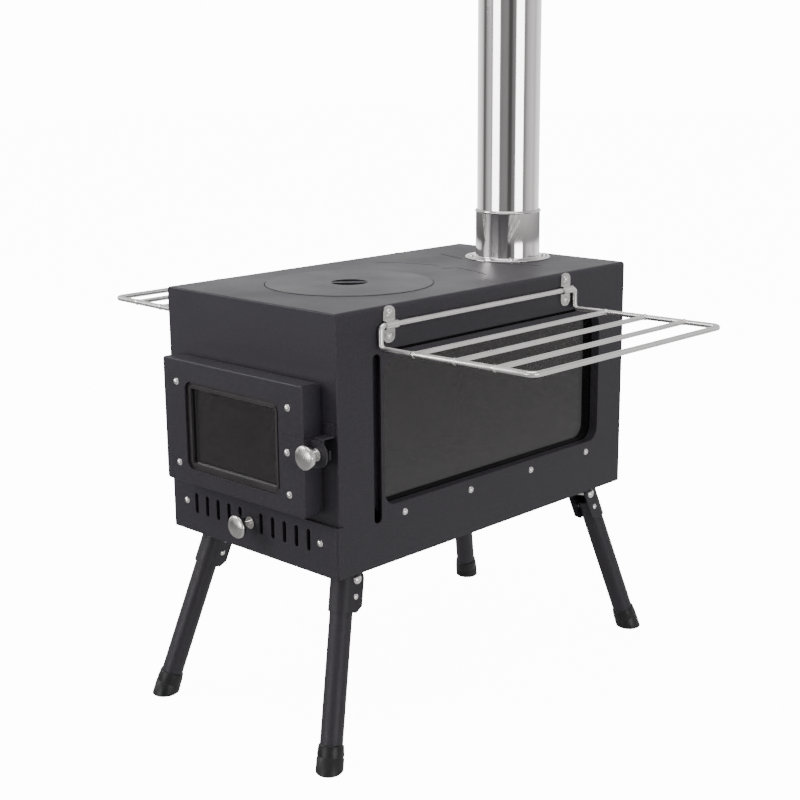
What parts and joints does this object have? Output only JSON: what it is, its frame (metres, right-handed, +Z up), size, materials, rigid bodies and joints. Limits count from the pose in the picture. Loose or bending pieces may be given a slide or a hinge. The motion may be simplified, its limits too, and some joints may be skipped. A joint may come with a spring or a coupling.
{
  "type": "wood-burning sauna stove",
  "caption": "Portable wood-burning tent and sauna stove: a black sheet-steel firebox on splayed folding legs, with a glazed door and side, hotplate lid, flue pipe and fold-up wire side racks.",
  "frame": {"origin": "on the ground under the middle of the box, between the four feet", "axes": "+Z up, the door faces -Y, the long side glass faces +X"},
  "size_m": [0.542, 0.461, 0.7312],
  "materials": {
    "black_coat": "black heat-proof powder coat, satin with a fine grain, on sheet steel",
    "polished_stainless": "polished rolled stainless sheet with faint lengthwise streaks",
    "satin_stainless": "satin stainless wire, clips, rivets and turned knobs",
    "dark_steel": "black oxide steel bolts, pins and brackets",
    "stove_glass": "dark heat-proof glass ceramic, glossy",
    "rubber": "glossy black rubber feet",
    "glass_fibre": "dark woven glass fibre rope and tape",
    "fire_steel": "bare dark steel plate, dull",
    "inner_trim": "grey-black coated ring with a rolled edge"
  },
  "bodies": {
    "stove_body": {"outer_wrap": "black_coat", "front_panel": "black_coat", "back_panel": "black_coat", "base_pan": "black_coat", "fire_grate": "fire_steel", "hotplate_seat_ring": "black_coat", "flue_collar": "polished_stainless", "flue_screws": "satin_stainless", "door_collar": "black_coat", "door_hinge_leaves_fixed": "black_coat", "door_hinge_pins": "dark_steel", "latch_keeper": "satin_stainless", "vent_panel": "black_coat", "vent_rivets": "satin_stainless", "side_glass_frame": "black_coat", "side_window_rivets": "satin_stainless", "side_glass_tape": "glass_fibre", "side_glass": "stove_glass", "side_glass_rails": "black_coat", "rack_clips_right": "satin_stainless", "rack_clips_left": "satin_stainless", "rack_rivets_right": "satin_stainless", "rack_rivets_left": "satin_stainless", "leg_hinge_brackets": "dark_steel", "leg_pivot_bolts": "dark_steel"},
    "door": {"door_shell": "black_coat", "door_glass_tape": "glass_fibre", "door_lens_ring": "inner_trim", "door_glass": "stove_glass", "door_glass_retainer": "black_coat", "door_rope_seal": "glass_fibre", "door_rivets": "satin_stainless", "door_hinge_leaves_door": "black_coat", "latch_strap": "black_coat"},
    "door_latch": {"latch_knob": "satin_stainless", "latch_cam": "dark_steel"},
    "air_slider": {"vent_slider": "black_coat", "vent_knob": "satin_stainless"},
    "hotplate": {"hotplate_lid": "black_coat", "lid_lift_cup": "black_coat"},
    "flue": {"flue_pipe": "polished_stainless"},
    "right_rack": {"rack_right": "satin_stainless"},
    "left_rack": {"rack_left": "satin_stainless"},
    "leg_front_left": {"leg_knuckle_front_left": "black_coat", "leg_tube_front_left": "black_coat", "leg_foot_front_left": "rubber", "leg_cross_pin_front_left": "dark_steel"},
    "leg_front_right": {"leg_knuckle_front_right": "black_coat", "leg_tube_front_right": "black_coat", "leg_foot_front_right": "rubber", "leg_cross_pin_front_right": "dark_steel"},
    "leg_rear_left": {"leg_knuckle_rear_left": "black_coat", "leg_tube_rear_left": "black_coat", "leg_foot_rear_left": "rubber", "leg_cross_pin_rear_left": "dark_steel"},
    "leg_rear_right": {"leg_knuckle_rear_right": "black_coat", "leg_tube_rear_right": "black_coat", "leg_foot_rear_right": "rubber", "leg_cross_pin_rear_right": "dark_steel"}
  },
  "joints": [
    {"name": "door_hinge", "type": "hinge", "parent": "stove_body", "child": "door", "pos_m": [-0.097, -0.204, 0.27575], "axis": [0, 0, -1], "range_deg": [0, 115]},
    {"name": "latch_turn", "type": "hinge", "parent": "door", "child": "door_latch", "pos_m": [0.102, -0.208, 0.276], "axis": [0, -1, 0], "range_deg": [0, 90]},
    {"name": "air_slide", "type": "slide", "parent": "stove_body", "child": "air_slider", "axis": [-1, 0, 0], "range_m": [0, 0.00765]},
    {"name": "hotplate_lift", "type": "slide", "parent": "stove_body", "child": "hotplate", "axis": [0, 0, 1], "range_m": [0, 0.12]},
    {"name": "flue_lift", "type": "slide", "parent": "stove_body", "child": "flue", "axis": [0, 0, 1], "range_m": [0, 0.06]},
    {"name": "right_rack_fold", "type": "hinge", "parent": "stove_body", "child": "right_rack", "pos_m": [0.1128, -0.018, 0.374], "axis": [0, -1, 0], "range_deg": [0, 100]},
    {"name": "left_rack_fold", "type": "hinge", "parent": "stove_body", "child": "left_rack", "pos_m": [-0.1128, -0.018, 0.374], "axis": [0, 1, 0], "range_deg": [0, 100]},
    {"name": "leg_fold_front_left", "type": "hinge", "parent": "stove_body", "child": "leg_front_left", "pos_m": [-0.08706, -0.16607, 0.153], "axis": [0.9848, 0, -0.1734], "range_deg": [0, 100]},
    {"name": "leg_fold_front_right", "type": "hinge", "parent": "stove_body", "child": "leg_front_right", "pos_m": [0.08706, -0.16607, 0.153], "axis": [0.9848, 0, 0.1734], "range_deg": [0, 100]},
    {"name": "leg_fold_rear_left", "type": "hinge", "parent": "stove_body", "child": "leg_rear_left", "pos_m": [-0.08706, 0.16607, 0.153], "axis": [-0.9848, 0, 0.1734], "range_deg": [0, 100]},
    {"name": "leg_fold_rear_right", "type": "hinge", "parent": "stove_body", "child": "leg_rear_right", "pos_m": [0.08706, 0.16607, 0.153], "axis": [-0.9848, 0, -0.1734], "range_deg": [0, 100]}
  ]
}
